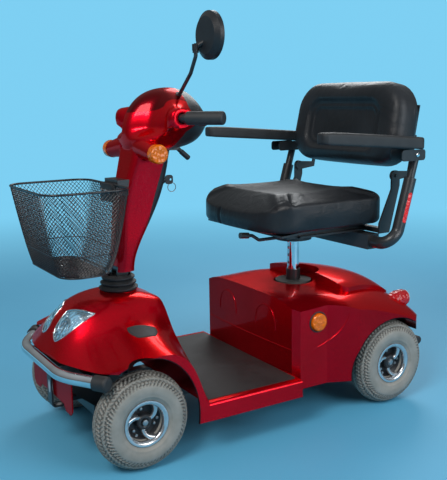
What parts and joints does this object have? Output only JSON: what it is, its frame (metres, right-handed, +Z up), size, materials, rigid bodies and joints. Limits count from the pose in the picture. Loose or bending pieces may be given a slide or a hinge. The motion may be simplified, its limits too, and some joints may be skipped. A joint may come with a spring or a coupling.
{
  "type": "mobility scooter",
  "caption": "Four-wheel electric mobility scooter with a tilting tiller, front basket, swivelling seat with folding backrest and flip-up armrests, and linked front wheel steering.",
  "frame": {"origin": "on the ground under the middle of the bounding box", "axes": "+Z up, -Y forwards in the direction of travel, +X towards the rider's left"},
  "size_m": [0.652, 1.18, 1.156],
  "materials": {
    "frame_black": "satin black powder coat",
    "cast_grey": "cast grey",
    "battery_grey": "moulded case",
    "candy_red": "deep gloss red",
    "black_plastic": "moulded black",
    "mat_black": "ribbed rubber",
    "black_rubber": "soft black rubber",
    "tyre_grey": "warm light grey",
    "rim_silver": "painted silver",
    "chrome": "polished chrome",
    "steel": "plain steel",
    "clear_lens": "clear",
    "reflector": "metallised",
    "amber_lens": "translucent amber",
    "red_lens": "translucent red",
    "black_vinyl": "black vinyl",
    "mirror": "silvered",
    "key_metal": "nickel plated"
  },
  "bodies": {
    "chassis": {"chassis_frame": "frame_black", "transaxle": "cast_grey", "battery_boxes": "battery_grey", "controller": "cast_grey", "nose_fairing": "candy_red", "nose_lower_panel": "candy_red", "headlight_reflectors": "reflector", "headlight_lenses": "clear_lens", "front_bumper": "chrome", "bumper_caps": "black_rubber", "floor_deck": "candy_red", "floor_mat": "mat_black", "rear_body_shell": "candy_red", "rear_top_cover": "candy_red", "post_collar": "black_rubber", "body_indicator_lenses": "amber_lens", "tail_lamps": "red_lens", "steering_boot": "black_rubber", "seat_post_socket": "frame_black"},
    "steering": {"steering_stem": "steel"},
    "knuckle_left_body": {"knuckle_left": "frame_black"},
    "knuckle_right_body": {"knuckle_right": "frame_black"},
    "tie_rod_left_body": {"tie_rod_left": "steel"},
    "tie_rod_right_body": {"tie_rod_right": "steel"},
    "front_left_wheel": {"front_left_tyre": "tyre_grey", "front_left_rim": "rim_silver"},
    "front_right_wheel": {"front_right_tyre": "tyre_grey", "front_right_rim": "rim_silver"},
    "rear_left_wheel": {"rear_left_tyre": "tyre_grey", "rear_left_rim": "rim_silver"},
    "rear_right_wheel": {"rear_right_tyre": "tyre_grey", "rear_right_rim": "rim_silver"},
    "anti_tip_rollers": {"anti_tip_wheels": "black_rubber"},
    "tiller": {"tiller_column": "frame_black", "tiller_front_cover": "candy_red", "tiller_rear_cover": "black_plastic", "console_hood": "candy_red", "console_panel": "black_plastic", "handlebar_grips": "black_rubber", "tiller_indicators": "amber_lens", "mirror_stem": "frame_black"},
    "mirror": {"mirror_head": "black_plastic", "mirror_glass": "mirror"},
    "tilt_release": {"tilt_lever": "black_plastic"},
    "throttle": {"wigwag_lever": "black_plastic"},
    "key": {"ignition_key": "key_metal"},
    "dial": {"speed_dial": "black_plastic"},
    "horn": {"horn_button": "black_plastic"},
    "turn_switch": {"indicator_switch": "black_plastic"},
    "front_basket": {"basket": "black_plastic"},
    "post": {"seat_post": "chrome"},
    "seat": {"seat_frame": "frame_black", "seat_cushion": "black_vinyl"},
    "backrest": {"backrest_cushion": "black_vinyl", "backrest_brackets": "frame_black"},
    "arm_left": {"armrest_tube_left": "frame_black"},
    "arm_right": {"armrest_tube_right": "frame_black"},
    "pad_left": {"armrest_pad_left": "black_rubber"},
    "pad_right": {"armrest_pad_right": "black_rubber"},
    "seat_release": {"swivel_lever": "frame_black"}
  },
  "joints": [
    {"name": "steering_turn", "type": "hinge", "parent": "chassis", "child": "steering", "pos_m": [0, -0.394, 0.13], "axis": [0, 0.1771, 0.9842], "range_deg": [-30, 30]},
    {"name": "knuckle_left_turn", "type": "hinge", "parent": "chassis", "child": "knuckle_left_body", "pos_m": [0.185, -0.394, 0.13], "axis": [0, 0, 1], "range_deg": [-30, 30]},
    {"name": "knuckle_right_turn", "type": "hinge", "parent": "chassis", "child": "knuckle_right_body", "pos_m": [-0.185, -0.394, 0.13], "axis": [0, 0, 1], "range_deg": [-30, 30]},
    {"name": "tie_rod_left_swing", "type": "hinge", "parent": "steering", "child": "tie_rod_left_body", "pos_m": [0, -0.33469, 0.166], "axis": [0, 0.1771, 0.9842], "range_deg": [-30, 30]},
    {"name": "tie_rod_right_swing", "type": "hinge", "parent": "steering", "child": "tie_rod_right_body", "pos_m": [0, -0.33469, 0.166], "axis": [0, 0.1771, 0.9842], "range_deg": [-30, 30]},
    {"name": "front_left_spin", "type": "hinge", "parent": "knuckle_left_body", "child": "front_left_wheel", "pos_m": [0.238, -0.394, 0.13], "axis": [1, 0, 0], "continuous": true},
    {"name": "front_right_spin", "type": "hinge", "parent": "knuckle_right_body", "child": "front_right_wheel", "pos_m": [-0.238, -0.394, 0.13], "axis": [1, 0, 0], "continuous": true},
    {"name": "rear_left_spin", "type": "hinge", "parent": "chassis", "child": "rear_left_wheel", "pos_m": [0.249, 0.436, 0.13], "axis": [1, 0, 0], "continuous": true},
    {"name": "rear_right_spin", "type": "hinge", "parent": "chassis", "child": "rear_right_wheel", "pos_m": [-0.249, 0.436, 0.13], "axis": [1, 0, 0], "continuous": true},
    {"name": "anti_tip_spin", "type": "hinge", "parent": "chassis", "child": "anti_tip_rollers", "pos_m": [0, 0.531, 0.058], "axis": [1, 0, 0], "continuous": true},
    {"name": "tiller_tilt", "type": "hinge", "parent": "steering", "child": "tiller", "pos_m": [0, -0.33131, 0.47841], "axis": [1, 0, 0], "range_deg": [0, 25]},
    {"name": "tilt_lever_pull", "type": "hinge", "parent": "tiller", "child": "tilt_release", "pos_m": [0.04, -0.166, 0.806], "axis": [1, 0, 0], "range_deg": [0, 12]},
    {"name": "wigwag_turn", "type": "hinge", "parent": "tiller", "child": "throttle", "pos_m": [0, -0.132, 0.88], "axis": [0, 0, 1], "range_deg": [-8, 8], "stiffness_Nm_per_rad": 1},
    {"name": "key_turn", "type": "hinge", "parent": "tiller", "child": "key", "pos_m": [0.02, -0.198, 0.715], "axis": [0, 1, 0], "range_deg": [0, 90]},
    {"name": "dial_turn", "type": "hinge", "parent": "tiller", "child": "dial", "pos_m": [0, -0.09388, 0.90514], "axis": [0, 0.8575, 0.5145], "range_deg": [0, 270]},
    {"name": "horn_press", "type": "slide", "parent": "tiller", "child": "horn", "axis": [0, -0.8575, -0.5145], "range_m": [0, 0.003], "stiffness_N_per_m": 400},
    {"name": "indicator_rock", "type": "hinge", "parent": "tiller", "child": "turn_switch", "pos_m": [0.046, -0.09594, 0.90857], "axis": [0, -0.5145, 0.8575], "range_deg": [-10, 10]},
    {"name": "mirror_turn", "type": "hinge", "parent": "tiller", "child": "mirror", "pos_m": [0.19, -0.182, 1.066], "axis": [0, 0, 1], "range_deg": [-20, 20]},
    {"name": "basket_lift", "type": "slide", "parent": "tiller", "child": "front_basket", "axis": [0, 0, 1], "range_m": [0, 0.06]},
    {"name": "seat_height", "type": "slide", "parent": "chassis", "child": "post", "axis": [0, 0, 1], "range_m": [0, 0.05]},
    {"name": "seat_swivel", "type": "hinge", "parent": "post", "child": "seat", "pos_m": [0, 0.267, 0.5], "axis": [0, 0, 1], "range_deg": [-45, 45]},
    {"name": "backrest_fold", "type": "hinge", "parent": "seat", "child": "backrest", "pos_m": [0, 0.468, 0.7], "axis": [1, 0, 0], "range_deg": [0, 80]},
    {"name": "arm_left_width", "type": "slide", "parent": "seat", "child": "arm_left", "axis": [1, 0, 0], "range_m": [0, 0.03]},
    {"name": "arm_right_width", "type": "slide", "parent": "seat", "child": "arm_right", "axis": [-1, 0, 0], "range_m": [0, 0.03]},
    {"name": "arm_left_flip", "type": "hinge", "parent": "arm_left", "child": "pad_left", "pos_m": [0.301, 0.49, 0.766], "axis": [-1, 0, 0], "range_deg": [0, 90]},
    {"name": "arm_right_flip", "type": "hinge", "parent": "arm_right", "child": "pad_right", "pos_m": [-0.301, 0.49, 0.766], "axis": [-1, 0, 0], "range_deg": [0, 90]},
    {"name": "seat_release_pull", "type": "hinge", "parent": "seat", "child": "seat_release", "pos_m": [0.08, 0.206, 0.522], "axis": [0, 0, 1], "range_deg": [0, 15]}
  ],
  "couplings": [
    {"joint": "knuckle_left_turn", "follows": "steering_turn", "ratio": 1},
    {"joint": "knuckle_right_turn", "follows": "steering_turn", "ratio": 1},
    {"joint": "tie_rod_left_swing", "follows": "steering_turn", "ratio": -1},
    {"joint": "tie_rod_right_swing", "follows": "steering_turn", "ratio": -1}
  ]
}
